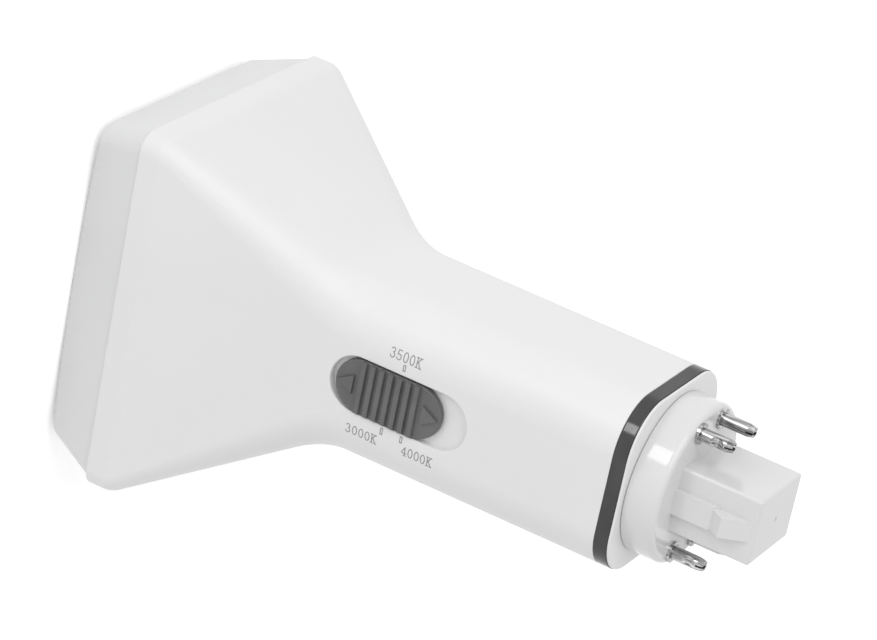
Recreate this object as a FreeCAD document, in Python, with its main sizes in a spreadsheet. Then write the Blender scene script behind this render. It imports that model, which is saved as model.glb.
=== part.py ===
import FreeCAD, Part
import math
import os
import re

import Sketcher

# LED plug-in lamp with a colour selector, all in millimetres.
# +Z runs along the lamp's axis towards the contact pins, and the lamp stands on its diffuser.
# X is the long side of the rectangular head, and the selector switch faces -Y.
# The origin lies under the middle of the crowned diffuser, where it touches the surface.

Vector = FreeCAD.Vector

os.makedirs("parts", exist_ok=True)
doc = FreeCAD.newDocument("plug_in_lamp")
sheet = doc.addObject("Spreadsheet::Sheet", "Sizes")

# Driving dimensions: name, value, what it measures.
SIZES = (
    ("head_long", 69.2, "head across its long side, at the parting line"),
    ("head_short", 57.6, "head across its short side, at the parting line"),
    ("head_corner", 3.6, "corner radius of the head"),
    ("diffuser_draw_long", 3.8, "how far the front face is set in from the head along X"),
    ("diffuser_draw_short", 4.1, "how far the front face is set in from the head along Y"),
    ("diffuser_depth", 10.8, "height of the diffuser's sides at the corners"),
    ("diffuser_crown", 1.3, "rise of the front face along the long side"),
    ("diffuser_inset", 0.4, "step between the head's rim and the diffuser"),
    ("diffuser_wall", 1.8, "diffuser's wall"),
    ("diffuser_edge", 1.2, "rounding of the front face's edge"),
    ("skirt_height", 3.0, "diffuser's skirt above the parting line"),
    ("skirt_wall", 1.2, "wall of the skirt"),
    ("skirt_root", 1.5, "skirt's root below the parting line"),
    ("rim_band", 4.4, "straight band of the head above the parting line"),
    ("rim_round", 4.0, "rounding between the band and the flare"),
    ("flare_height", 31.6, "flare from the band to the neck"),
    ("throat_reach", 5.0, "how far the hollow blend runs each way from the throat"),
    ("neck_draft", 0.2, "draft of the neck, on each side"),
    ("neck_corner", 9.0, "corner radius of the neck"),
    ("neck_length", 55.7, "neck from the throat to the trim ring"),
    ("shell_wall", 1.8, "housing's wall"),
    ("fit_gap", 0.1, "clearance between pieces that are assembled together"),
    ("press_gap", 0.025, "clearance round a pressed pin"),
    ("root", 0.1, "how deep a raised detail is rooted in what carries it"),
    ("trim_reach", 6.0, "how far a trimming outline runs past what it trims"),
    ("ring_height", 2.7, "trim ring along the axis"),
    ("ring_wall", 0.8, "trim ring's wall"),
    ("ring_edge", 0.25, "rounding of the trim ring's edges"),
    ("cap_lip", 0.4, "end cap's lip above the trim ring"),
    ("cap_lip_inset", 0.1, "step between the trim ring and the lip"),
    ("cap_skirt_height", 6.0, "end cap's skirt inside the neck"),
    ("cap_skirt_wall", 1.2, "wall of that skirt"),
    ("cap_lip_round", 0.24, "rounding of the lip's edge"),
    ("cap_hook_rise", 0.6, "how far the skirt's two hooks stand out"),
    ("cap_hook_long", 8.0, "length of a hook"),
    ("cap_hook_level", 2.0, "catch face of a hook below the neck's end"),
    ("cap_hook_ramp", 2.2, "ramp of a hook along the axis"),
    ("cap_margin", 1.55, "neck beyond the collar, on each side"),
    ("cap_seat_depth", 1.5, "seat for the collar in the end cap"),
    ("cap_ledge", 3.65, "floor of the end cap inside the collar's edge"),
    ("collar_margin", 2.475, "collar beyond the middles of the contact pins"),
    ("collar_height", 6.3, "collar above the end cap's lip"),
    ("collar_step", 0.4, "step from the collar to its foot in the end cap"),
    ("collar_reveal", 0.15, "open line between the collar and the end cap's lip"),
    ("collar_round", 1.1, "rounding of the collar's end"),
    ("collar_wall", 1.6, "collar's side wall"),
    ("collar_face", 2.0, "thickness of the collar's end face"),
    ("post_thick", 12.3, "post across X"),
    ("post_wide", 15.1, "post across Y"),
    ("post_height", 15.2, "post above the collar"),
    ("post_round", 0.5, "rounding of the post's edges"),
    ("post_wall", 1.6, "post's wall"),
    ("gate_radius", 0.5, "gate mark in the post's end"),
    ("gate_depth", 0.15, "depth of the gate mark"),
    ("latch_wide", 4.4, "latch rail across X"),
    ("latch_root", 0.5, "how deep the latches are rooted in the post"),
    ("latch_slope", 1.0, "slope of the rail's end along the axis"),
    ("latch_rise", 1.2, "latch rail above the post's side"),
    ("latch_length", 7.3, "latch rail along the axis"),
    ("nose_wide", 3.7, "latch nose across X"),
    ("nose_rise", 2.9, "crest of the nose above the post's side"),
    ("nose_crest", 9.7, "crest of the nose above the collar"),
    ("nose_end", 14.3, "end of the nose above the collar"),
    ("leg_wide", 6.0, "snap leg of the plug base across X"),
    ("leg_thick", 1.4, "snap leg's thickness"),
    ("leg_hook", 0.6, "snap leg's hook"),
    ("leg_below", 2.0, "snap leg past the end cap's floor"),
    ("pin_pitch_long", 23.0, "contact pins apart along X"),
    ("pin_pitch_short", 8.0, "contact pins apart along Y"),
    ("pin_radius", 1.2, "radius of a contact pin"),
    ("pin_bore", 0.6, "radius of the blind bore in a pin's tip"),
    ("pin_bore_depth", 1.6, "depth of that bore"),
    ("pin_length", 6.5, "contact pin above the collar"),
    ("pin_shank", 1.0, "radius of a pin's shank in the collar"),
    ("pin_tail", 4.7, "length of that shank"),
    ("pin_flange_radius", 1.9, "radius of a pin's flange"),
    ("pin_flange", 0.5, "thickness of a pin's flange"),
    ("pin_nose", 1.1, "taper of a pin's tip"),
    ("pin_nose_radius", 0.95, "radius of a pin's tip"),
    ("pin_boss_radius", 2.3, "boss round a pin inside the collar"),
    ("pin_slit", 1.3, "depth of the slit in a pin's tip"),
    ("pin_slit_wide", 0.3, "width of that slit"),
    ("crimp_radius", 1.7, "radius of the dimple in a pin's side"),
    ("crimp_depth", 0.55, "depth of that dimple"),
    ("crimp_level", 3.7, "dimple above the collar"),
    ("recess_long", 27.2, "selector's recess along the neck"),
    ("recess_wide", 10.5, "selector's recess across the neck"),
    ("recess_depth", 1.25, "depth of the recess"),
    ("recess_floor", 1.5, "floor of the recess"),
    ("recess_edge", 0.25, "rounding of the recess's rim"),
    ("recess_level", 15.05, "middle of the recess above the throat"),
    ("knob_gap_side", 0.28, "gap beside the knob"),
    ("knob_gap_end", 1.0, "gap at the knob's end, at the ends of its travel"),
    ("knob_gap_floor", 0.3, "gap under the knob"),
    ("knob_proud", 0.1, "knob's plate above the neck's side"),
    ("knob_edge", 0.3, "rounding of the knob's edge"),
    ("knob_travel", 4.0, "travel of the knob"),
    ("rib_count", 7, "ribs on the knob"),
    ("rib_pitch", 1.78, "from rib to rib"),
    ("rib_foot", 1.2, "width of a rib at its foot"),
    ("rib_top", 0.9, "width of a rib at its top"),
    ("rib_rise", 0.6, "height of a rib"),
    ("arrow_long", 3.1, "arrow on the knob, along the neck"),
    ("arrow_wide", 3.6, "arrow on the knob, across the neck"),
    ("arrow_tip", 10.05, "arrow's tip from the middle of the knob"),
    ("arrow_rise", 0.45, "height of an arrow above the knob"),
    ("stem_wide", 3.0, "knob's stem across the neck"),
    ("stem_long", 4.0, "knob's stem along the neck"),
    ("stem_depth", 5.7, "stem below the neck's side"),
    ("stem_hook_wide", 5.0, "hooks of the stem across the neck"),
    ("stem_hook_thick", 1.0, "thickness of the stem's hooks"),
    ("slot_gap", 0.3, "gap between the stem and its slot"),
    ("lever_wide", 1.5, "lever of the slide switch, across"),
    ("lever_long", 2.0, "lever of the slide switch, along"),
    ("lever_gap", 0.05, "gap between the lever and the stem's socket"),
    ("lever_depth", 4.4, "top of the lever below the neck's side"),
    ("lever_foot", 1.5, "lever inside the slide switch"),
    ("board_long", 44.0, "driver board along the axis"),
    ("board_side", 1.0, "gap between the driver board's edge and the neck's wall"),
    ("board_thick", 1.6, "driver board's thickness"),
    ("board_drop", 7.8, "driver board's upper edge below the neck's end"),
    ("board_back", 3.5, "driver board's front side from the axis plane towards the selector"),
    ("rail_wide", 2.8, "guide rail across X"),
    ("rail_thick", 1.0, "guide rail across Y"),
    ("switch_wide", 6.6, "slide switch across"),
    ("switch_long", 12.7, "slide switch along the axis"),
    ("switch_tall", 5.0, "slide switch above its board"),
    ("spreader_gap", 0.3, "gap between the heat spreader and the diffuser's skirt"),
    ("tray_corner", 2.5, "corner radius of the heat spreader"),
    ("tray_thick", 1.5, "heat spreader's floor"),
    ("tray_flange", 2.4, "heat spreader's upturned edge"),
    ("tray_wall", 1.0, "thickness of that edge"),
    ("panel_margin", 1.2, "heat spreader beyond the LED board, on each side"),
    ("panel_thick", 1.5, "LED board's thickness"),
    ("panel_lift", 0.5, "LED board above the parting line"),
    ("lead_hole", 2.6, "radius of the hole for the leads"),
    ("chip_long", 2.8, "LED chip along X"),
    ("chip_short", 3.5, "LED chip along Y"),
    ("chip_thick", 0.7, "LED chip's thickness"),
    ("chip_margin", 6.8, "outermost chip's middle from the LED board's edge"),
    ("chip_columns", 4, "chips in a quarter of the board along X"),
    ("chip_rows", 3, "chips in a quarter of the board along Y"),
    ("chip_start_long", 4.6, "first chip from the middle along X"),
    ("chip_start_short", 3.5, "first chip from the middle along Y"),
    ("screw_margin", 3.0, "board screw's middle from the LED board's edge"),
    ("screw_radius", 1.2, "shank of a board screw"),
    ("screw_length", 9.0, "board screw below its head"),
    ("screw_clearance", 0.4, "clearance round a screw in the boards"),
    ("screw_spare", 0.5, "bore beyond a screw's tip"),
    ("screw_head_radius", 2.3, "head of a board screw"),
    ("screw_head", 1.5, "height of a board screw's head"),
    ("boss_radius", 2.3, "screw boss in the housing"),
    ("boss_cover", 0.4, "flare's wall left outside a screw boss"),
    ("connector_wide", 5.2, "connector of the leads across X"),
    ("connector_deep", 5.0, "connector across Y"),
    ("connector_tall", 2.6, "connector's height"),
    ("wire_radius", 0.65, "insulated wire"),
    ("lead_pitch", 1.6, "from lead to lead"),
    ("lead_straight", 8.0, "straight run of a lead below the driver board"),
    ("lead_bend", 18.0, "bow of a lead below the driver board"),
    ("lead_bow", 1.4, "how far that bow passes the axis plane"),
    ("lead_rise", 8.0, "straight run of a lead above the LED board"),
    ("pin_lead_drop", 1.4, "straight run of a wire below its pin"),
    ("pin_lead_level", 1.0, "bend of that wire above the neck's end"),
    ("pin_lead_shift", 3.3, "how far that bend lies inside its pin along X"),
    ("pin_lead_rise", 2.5, "straight run of that wire above the driver board"),
    ("pin_lead_outer", 9.5, "outer wires on the driver board from its middle"),
    ("pin_lead_inner", 4.5, "inner wires on the driver board from its middle"),
    ("core_wide", 16.0, "transformer core across"),
    ("core_deep", 9.0, "transformer core, from the board outwards"),
    ("core_tall", 14.0, "transformer core along the axis"),
    ("core_yoke", 2.5, "transformer core's yokes"),
    ("core_level", 17.0, "transformer above the board's lower edge"),
    ("leg_width", 4.8, "transformer core's middle leg"),
    ("window_wide", 3.6, "window beside that leg"),
    ("coil_deep", 11.6, "transformer's coil, from the board outwards"),
    ("can_edge", 0.4, "chamfer of a capacitor's can"),
    ("can_groove", 0.5, "depth of the rolled groove of a can"),
    ("can_groove_level", 1.6, "groove above the can's foot"),
)

# Parts on the driver board: name, across X, out from the board, along the axis,
# middle in X, foot above the board's lower edge.
BOARD_PARTS = (
    ("bulk_capacitor", 10.0, 10.0, 15.5, -6.4, 0.8),
    ("output_capacitor", 8.0, 8.0, 12.5, 6.6, 2.2),
    ("film_capacitor", 12.0, 9.5, 5.5, -6.2, 32.5),
    ("choke", 7.8, 9.0, 7.8, 7.4, 33.1),
    ("input_fuse", 7.5, 2.8, 2.8, -6.25, 39.6),
    ("bridge_rectifier", 8.4, 2.6, 6.4, 0.0, 34.0),
    ("power_transistor", 6.5, 2.3, 6.1, -7.5, 23.0),
    ("controller_chip", 4.0, 1.5, 4.9, 5.5, 24.0),
    ("surge_varistor", 3.2, 7.2, 7.2, 9.2, 34.0),
)

# The signs of X and Y at the four contact pins, in turn round the axis.
PIN_CORNERS = (("-", "-"), ("-", ""), ("", ""), ("", "-"))

# Levels and sizes that follow from the driving dimensions.
LEVELS = (
    ("collar_diameter", "sqrt(pin_pitch_long ^ 2 + pin_pitch_short ^ 2) + 2 * collar_margin"),
    ("collar_foot", "collar_diameter / 2 - collar_step"),
    ("cap_hole_radius", "collar_diameter / 2 - cap_ledge"),
    ("neck_end_width", "collar_diameter + 2 * cap_margin"),
    ("neck_width", "neck_end_width + 2 * neck_draft"),
    ("parting", "diffuser_crown + diffuser_depth"),
    ("band_top", "parting + rim_band"),
    ("throat", "band_top + flare_height"),
    ("neck_end", "throat + neck_length"),
    ("ring_end", "neck_end + ring_height"),
    ("cap_top", "ring_end + cap_lip"),
    ("seat_level", "cap_top - cap_seat_depth"),
    ("collar_level", "cap_top + collar_reveal"),
    ("collar_top", "cap_top + collar_height"),
    ("post_top", "collar_top + post_height"),
    ("diffuser_front_long", "head_long - 2 * diffuser_draw_long"),
    ("diffuser_front_short", "head_short - 2 * diffuser_draw_short"),
    ("diffuser_top_long", "head_long - 2 * diffuser_inset"),
    ("diffuser_top_short", "head_short - 2 * diffuser_inset"),
    ("crown_radius", "(diffuser_front_long ^ 2 / 4 + diffuser_crown ^ 2) / (2 * diffuser_crown)"),
    ("foot_share", "diffuser_crown / diffuser_depth"),
    ("foot_long", "diffuser_front_long - (diffuser_top_long - diffuser_front_long) * foot_share"),
    ("foot_short", "diffuser_front_short - (diffuser_top_short - diffuser_front_short) * foot_share"),
    ("skirt_long", "head_long - 2 * shell_wall - 2 * fit_gap"),
    ("skirt_short", "head_short - 2 * shell_wall - 2 * fit_gap"),
    ("recess_middle", "throat + recess_level"),
    ("neck_side", "neck_width / 2 - neck_draft * recess_level / neck_length"),
    ("knob_long", "recess_long - knob_travel - 2 * knob_gap_end"),
    ("knob_wide", "recess_wide - 2 * knob_gap_side"),
    ("knob_middle", "recess_middle - knob_travel / 2"),
    ("neck_inside", "neck_end_width - 2 * shell_wall"),
    ("tray_long", "skirt_long - 2 * skirt_wall - 2 * spreader_gap"),
    ("tray_short", "skirt_short - 2 * skirt_wall - 2 * spreader_gap"),
    ("panel_long", "tray_long - 2 * panel_margin"),
    ("panel_short", "tray_short - 2 * panel_margin"),
    ("chip_pitch_long", "(panel_long / 2 - chip_margin - chip_start_long) / (chip_columns - 1)"),
    ("chip_pitch_short", "(panel_short / 2 - chip_margin - chip_start_short) / (chip_rows - 1)"),
    ("screw_pitch_long", "panel_long - 2 * screw_margin"),
    ("screw_pitch_short", "panel_short - 2 * screw_margin"),
    ("panel_level", "parting + panel_lift"),
    ("tray_level", "panel_level + panel_thick"),
    ("boss_foot", "tray_level + tray_thick"),
    ("flare_slope", "(head_long - neck_width) / 2 / flare_height"),
    ("boss_reach", "head_long / 2 - boss_cover - screw_pitch_long / 2 - boss_radius"),
    ("boss_height", "band_top + boss_reach / flare_slope - boss_foot"),
    ("board_wide", "neck_inside - 2 * board_side"),
    ("board_top", "neck_end - board_drop"),
    ("board_level", "board_top - board_long"),
    ("board_rear", "board_thick - board_back"),
    ("board_middle", "board_thick / 2 - board_back"),
    ("switch_face", "board_back + switch_tall"),
    ("cap_plug", "neck_inside / 2 - fit_gap"),
    ("leg_outside", "collar_diameter / 2 - collar_wall"),
    ("pin_lead_inset", "pin_pitch_long / 2 - pin_lead_shift"),
    ("pin_lead_depth", "pin_pitch_short / 2 - pin_radius"),
    ("post_rise", "collar_height + cap_seat_depth + post_height"),
)


def fillSheet():
    """One row per size: what it is, its value or formula, and its name as the alias."""
    rows = [(name, str(value), note) for name, value, note in SIZES]
    for part, *values in BOARD_PARTS:
        for word, value in zip(("wide", "deep", "tall", "middle", "foot"), values):
            rows.append(("%s_%s" % (part, word), str(value), "%s, %s" % (part.replace("_", " "), word)))
    rows += [(name, "=" + formula, "follows from the sizes above") for name, formula in LEVELS]
    for row, (name, content, note) in enumerate(rows, 1):
        sheet.set("A%d" % row, note)
        sheet.set("B%d" % row, content)
        sheet.setAlias("B%d" % row, name)
        known.add(name)
    doc.recompute()


def bound(expression):
    """The expression with each size's name turned into a reference to the sheet."""
    return re.sub(r"[a-z][a-z_]+", lambda m: "Sizes." + m.group() if m.group() in known else m.group(),
                  expression)


def number(expression):
    return float(sheet.evalExpression(bound(expression)))


known = set()
fillSheet()

# Two levels or sizes closer than this are the same.
near = 0.01


# Sketch helpers: every point and radius is bound to an expression in the sheet's names.

def newBody(label):
    body = doc.addObject("PartDesign::Body", label)
    body.Label = label
    return body


def newSketch(body, name, level="0", plane="XY_Plane"):
    sketch = body.newObject("Sketcher::SketchObject", name)
    origin = next(f for f in body.Origin.OriginFeatures if f.Role == plane)
    sketch.AttachmentSupport = (origin, [""])
    sketch.MapMode = "FlatFace"
    sketch.setExpression("AttachmentOffset.Base.z", bound(level))
    return sketch


def measure(sketch, constraint, expression):
    index = sketch.addConstraint(constraint)
    sketch.setExpression("Constraints[%d]" % index, bound(expression))


def place(sketch, geometry, point, x, y):
    """Fixes a point of a sketch at x, y; a plain 0 puts it on the axis."""
    for kind, axis, value in (("DistanceX", -2, x), ("DistanceY", -1, y)):
        if value == "0":
            sketch.addConstraint(Sketcher.Constraint("PointOnObject", geometry, point, axis))
        else:
            rule = Sketcher.Constraint(kind, -1, 1, geometry, point, number(value))
            measure(sketch, rule, value)


def circle(sketch, x, y, radius):
    shape = Part.Circle(Vector(number(x), number(y), 0), Vector(0, 0, 1), number(radius))
    index = sketch.addGeometry(shape, False)
    place(sketch, index, 3, x, y)
    measure(sketch, Sketcher.Constraint("Radius", index, number(radius)), radius)


def polygon(sketch, corners):
    """A closed straight outline through corners given as pairs of expressions."""
    points = [Vector(number(x), number(y), 0) for x, y in corners]
    count = len(points)
    first = sketch.GeometryCount
    for i in range(count):
        sketch.addGeometry(Part.LineSegment(points[i], points[(i + 1) % count]), False)
    for i in range(count):
        sketch.addConstraint(Sketcher.Constraint("Coincident", first + i, 2, first + (i + 1) % count, 1))
    for i, (x, y) in enumerate(corners):
        place(sketch, first + i, 1, x, y)


def rectangle(sketch, width, depth, x="0", y="0"):
    left, right = "%s - (%s) / 2" % (x, width), "%s + (%s) / 2" % (x, width)
    low, high = "%s - (%s) / 2" % (y, depth), "%s + (%s) / 2" % (y, depth)
    polygon(sketch, [(left, low), (right, low), (right, high), (left, high)])


def roundedRectangle(sketch, width, depth, corner):
    """A rectangle about the origin with tangent corner arcs."""
    w, d, r = number(width) / 2, number(depth) / 2, number(corner)
    first = sketch.GeometryCount
    centres = ((w - r, r - d), (w - r, d - r), (r - w, d - r), (r - w, r - d))
    ends = ((r - w, -d), (w, r - d), (w - r, d), (-w, d - r))
    starts = ((w - r, -d), (w, d - r), (r - w, d), (-w, r - d))
    for i in range(4):
        a, b = ends[i], starts[i]
        sketch.addGeometry(Part.LineSegment(Vector(a[0], a[1], 0), Vector(b[0], b[1], 0)), False)
        full = Part.Circle(Vector(centres[i][0], centres[i][1], 0), Vector(0, 0, 1), r)
        turn = (i - 1) * math.pi / 2
        sketch.addGeometry(Part.ArcOfCircle(full, turn, turn + math.pi / 2), False)
    for i in range(4):
        line, arc, after = first + 2 * i, first + 2 * i + 1, first + (2 * i + 2) % 8
        sketch.addConstraint(Sketcher.Constraint("Tangent", line, 2, arc, 1))
        sketch.addConstraint(Sketcher.Constraint("Tangent", arc, 2, after, 1))
        sketch.addConstraint(Sketcher.Constraint("Vertical" if i % 2 else "Horizontal", line))
        if i:
            sketch.addConstraint(Sketcher.Constraint("Equal", first + 1, arc))
    place(sketch, first + 1, 3, "(%s) / 2 - (%s)" % (width, corner), "(%s) - (%s) / 2" % (corner, depth))
    place(sketch, first + 5, 3, "(%s) - (%s) / 2" % (corner, width), "(%s) / 2 - (%s)" % (depth, corner))
    measure(sketch, Sketcher.Constraint("Radius", first + 1, r), corner)


def stadium(sketch, width, length, middle):
    """Two half circles joined by straight sides, long along the sketch's upright axis."""
    r, half, y = number(width) / 2, number(length) / 2, number(middle)
    first = sketch.GeometryCount
    top, low = y + half - r, y - half + r
    sketch.addGeometry(Part.LineSegment(Vector(r, low, 0), Vector(r, top, 0)), False)
    sketch.addGeometry(Part.ArcOfCircle(Part.Circle(Vector(0, top, 0), Vector(0, 0, 1), r), 0, math.pi),
                       False)
    sketch.addGeometry(Part.LineSegment(Vector(-r, top, 0), Vector(-r, low, 0)), False)
    sketch.addGeometry(Part.ArcOfCircle(Part.Circle(Vector(0, low, 0), Vector(0, 0, 1), r), math.pi,
                                        2 * math.pi), False)
    for i in range(4):
        sketch.addConstraint(Sketcher.Constraint("Tangent", first + i, 2, first + (i + 1) % 4, 1))
    place(sketch, first + 1, 3, "0", "%s + (%s) / 2 - (%s) / 2" % (middle, length, width))
    place(sketch, first + 3, 3, "0", "%s - (%s) / 2 + (%s) / 2" % (middle, length, width))
    sketch.addConstraint(Sketcher.Constraint("Equal", first + 1, first + 3))
    measure(sketch, Sketcher.Constraint("Radius", first + 1, r), "(%s) / 2" % width)


# Feature helpers.

def feature(body, kind, name, profile, **expressions):
    item = body.newObject("PartDesign::" + kind, name)
    item.Profile = profile
    for prop, expression in expressions.items():
        item.setExpression(prop, bound(expression))
    return item


def pad(body, name, sketch, length, reverse=False):
    item = feature(body, "Pad", name, sketch, Length=length)
    item.Reversed = reverse
    return item


def pocket(body, name, sketch, depth, reverse=False):
    """Cuts towards the back of the sketch's plane, and checks that something was cut."""
    doc.recompute()
    before = body.Shape.Volume
    item = feature(body, "Pocket", name, sketch, Length=depth)
    item.Reversed = reverse
    doc.recompute()
    if body.Shape.Volume > before - near:
        raise ValueError(name + " cuts nothing")
    return item


def loft(body, name, profile, *sections, cut=False):
    """Straight between two outlines, and smooth through more."""
    item = feature(body, "SubtractiveLoft" if cut else "AdditiveLoft", name, profile)
    item.Sections = list(sections)
    item.Ruled = len(sections) == 1
    return item


def fillet(body, name, base, radius, test):
    """Rounds the base's edges that pass the test."""
    doc.recompute()
    edges = ["Edge%d" % (i + 1) for i, edge in enumerate(base.Shape.Edges) if test(edge)]
    if not edges:
        raise ValueError(name + " finds no edge")
    item = body.newObject("PartDesign::Fillet", name)
    item.Base = (base, edges)
    item.setExpression("Radius", bound(radius))
    doc.recompute()
    return item


def atLevel(edge, level):
    return all(abs(vertex.Z - level) < near for vertex in edge.Vertexes)


def outlineAt(body, name, level, width, depth, corner):
    sketch = newSketch(body, name, level)
    roundedRectangle(sketch, width, depth, corner)
    return sketch


def bandAt(body, name, level, outer, inner):
    """A sketch with one rounded rectangle inside another."""
    sketch = newSketch(body, name, level)
    roundedRectangle(sketch, *outer)
    roundedRectangle(sketch, *inner)
    return sketch


# Plain solids for what is bought in: boxes and cylinders bound to the sheet.

def box(label, wide, deep, tall, x, y, z):
    """A box centred on x and y that stands on level z."""
    item = doc.addObject("Part::Box", label)
    item.Label = label
    corner = {"Length": wide, "Width": deep, "Height": tall, "Placement.Base.x": "%s - (%s) / 2" % (x, wide),
              "Placement.Base.y": "%s - (%s) / 2" % (y, deep), "Placement.Base.z": z}
    for prop, expression in corner.items():
        item.setExpression(prop, bound(expression))
    return item


def rod(label, radius, tall, x, y, z, turn=None):
    """A cylinder from x, y, z, along +Z or turned about an axis by an angle in degrees."""
    item = doc.addObject("Part::Cylinder", label)
    item.Label = label
    if turn:
        item.Placement = FreeCAD.Placement(Vector(), FreeCAD.Rotation(*turn))
    spot = {"Radius": radius, "Height": tall, "Placement.Base.x": x, "Placement.Base.y": y,
            "Placement.Base.z": z}
    for prop, expression in spot.items():
        item.setExpression(prop, bound(expression))
    return item


def fuse(label, *items):
    item = doc.addObject("Part::MultiFuse", label)
    item.Label = label
    item.Shapes = list(items)
    return item


def cut(label, base, tool):
    item = doc.addObject("Part::Cut", label)
    item.Label = label
    item.Base, item.Tool = base, tool
    return item


# The shell of the lamp.

def crownedBlock(name, top_level, top, foot, foot_level, radius, lift):
    """A tapered block whose lower face is crowned along X, by an arc that trims it."""
    body = newBody(name)
    loft(body, name + "Taper", outlineAt(body, name + "Top", top_level, *top),
         outlineAt(body, name + "Foot", foot_level, *foot))
    arc = newSketch(body, name + "Line", plane="XZ_Plane")
    reach = "(diffuser_front_long / 2 + trim_reach)"
    r, x, z = number(radius), number(reach), number(lift)
    side = z + r - math.sqrt(r ** 2 - x ** 2)
    turn = math.asin(x / r)
    down = -number("trim_reach")
    full = Part.Circle(Vector(0, z + r, 0), Vector(0, 0, 1), r)
    arc.addGeometry(Part.ArcOfCircle(full, 1.5 * math.pi - turn, 1.5 * math.pi + turn), False)
    corners = [Vector(x, side, 0), Vector(x, down, 0), Vector(-x, down, 0), Vector(-x, side, 0)]
    for a, b in zip(corners, corners[1:]):
        arc.addGeometry(Part.LineSegment(a, b), False)
    for a, b in ((0, 1), (1, 2), (2, 3)):
        arc.addConstraint(Sketcher.Constraint("Coincident", a, 2, b, 1))
    arc.addConstraint(Sketcher.Constraint("Coincident", 3, 2, 0, 1))
    place(arc, 0, 3, "0", "(%s) + (%s)" % (lift, radius))
    measure(arc, Sketcher.Constraint("Radius", 0, r), radius)
    place(arc, 2, 1, reach, "-trim_reach")
    place(arc, 2, 2, "-" + reach, "-trim_reach")
    arc.addConstraint(Sketcher.Constraint("Vertical", 1))
    arc.addConstraint(Sketcher.Constraint("Vertical", 3))
    crown = feature(body, "Pocket", name + "Crown", arc, Length="2 * head_short")
    crown.Midplane = True
    doc.recompute()
    return body, crown


def makeDiffuser():
    outer, crown = crownedBlock(
        "DiffuserOuter", "parting", ("diffuser_top_long", "diffuser_top_short", "head_corner"),
        ("foot_long", "foot_short", "head_corner"), "0", "crown_radius", "0")
    level = number("diffuser_crown") + number("diffuser_edge") / 2
    fillet(outer, "FrontEdge", crown, "diffuser_edge", lambda e: all(v.Z < level for v in e.Vertexes))
    inset = "- 2 * diffuser_wall"
    corner = "head_corner - diffuser_wall / 2"
    cavity, trim = crownedBlock(
        "DiffuserCavity", "parting", ("diffuser_top_long " + inset, "diffuser_top_short " + inset, corner),
        ("foot_long " + inset, "foot_short " + inset, corner), "0",
        "crown_radius - diffuser_wall", "diffuser_wall")
    skirt = newBody("DiffuserSkirt")
    band = bandAt(skirt, "SkirtOutline", "parting - skirt_root", ("skirt_long", "skirt_short", corner),
                  ("skirt_long - 2 * skirt_wall", "skirt_short - 2 * skirt_wall", corner))
    pad(skirt, "SkirtBand", band, "skirt_root + skirt_height")
    return fuse("diffuser", cut("DiffuserShell", outer, cavity), skirt)


def blend(flare, corner, neck, share):
    """The parabola that leaves the flare and joins the neck without a crease, at a share of its height."""
    rest = 1 - share
    return "%g * (%s) + %g * (%s) + %g * (%s)" % (rest ** 2, flare, 2 * share * rest, corner,
                                                   share ** 2, neck)


def shellOutside(body):
    """Rim band, flare, a hollow blend at the throat, and the neck, each from outline to outline."""
    head = ("head_long", "head_short", "head_corner")
    throat = ("neck_width", "neck_width", "neck_corner")
    end = ("neck_end_width", "neck_end_width", "neck_corner")
    low = ["%s - (%s - %s) * throat_reach / flare_height" % (b, b, a) for a, b in zip(head, throat)]
    high = ["%s + (%s - %s) * throat_reach / neck_length" % (a, b, a) for a, b in zip(throat, end)]
    sections = []
    for step in range(5):
        share = step / 4
        size = [blend(a, b, c, share) for a, b, c in zip(low, throat, high)]
        level = "throat + (%g) * throat_reach" % (2 * share - 1)
        sections.append(outlineAt(body, "Throat%d" % step, level, *size))
    pad(body, "RimBand", outlineAt(body, "RimOutline", "parting", *head), "rim_band")
    flare = loft(body, "Flare", outlineAt(body, "FlareFoot", "band_top", *head), sections[0])
    fillet(body, "BandRound", flare, "rim_round", lambda e: atLevel(e, number("band_top")))
    loft(body, "Throat", sections[0], *sections[1:])
    loft(body, "Neck", sections[4], outlineAt(body, "NeckTop", "neck_end", *end))


def shellInside(body):
    """The inside follows the outside, one wall in."""
    inset = " - 2 * shell_wall"
    head = ("head_long" + inset, "head_short" + inset, "head_corner - shell_wall")
    throat = ("neck_width" + inset, "neck_width" + inset, "neck_corner - shell_wall")
    end = ("neck_end_width" + inset, "neck_end_width" + inset, "neck_corner - shell_wall")
    pocket(body, "RimInside", outlineAt(body, "RimInsideOutline", "parting", *head), "rim_band",
           reverse=True)
    loft(body, "FlareInside", outlineAt(body, "FlareInsideFoot", "band_top", *head),
         outlineAt(body, "FlareInsideTop", "throat", *throat), cut=True)
    loft(body, "NeckInside", outlineAt(body, "NeckInsideFoot", "throat", *throat),
         outlineAt(body, "NeckInsideTop", "neck_end", *end), cut=True)


def screwBosses(body):
    """Bosses hang from the flare, one in each corner, with a bore for the board's screw."""
    bosses = newSketch(body, "BossOutline", "boss_foot")
    holes = newSketch(body, "BossHoles", "boss_foot")
    for x in ("screw_pitch_long / 2", "-screw_pitch_long / 2"):
        for y in ("screw_pitch_short / 2", "-screw_pitch_short / 2"):
            circle(bosses, x, y, "boss_radius")
            circle(holes, x, y, "screw_radius + fit_gap / 2")
    pad(body, "Bosses", bosses, "boss_height")
    pocket(body, "BossBores", holes, "screw_length - panel_thick - tray_thick + screw_spare", reverse=True)


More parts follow.
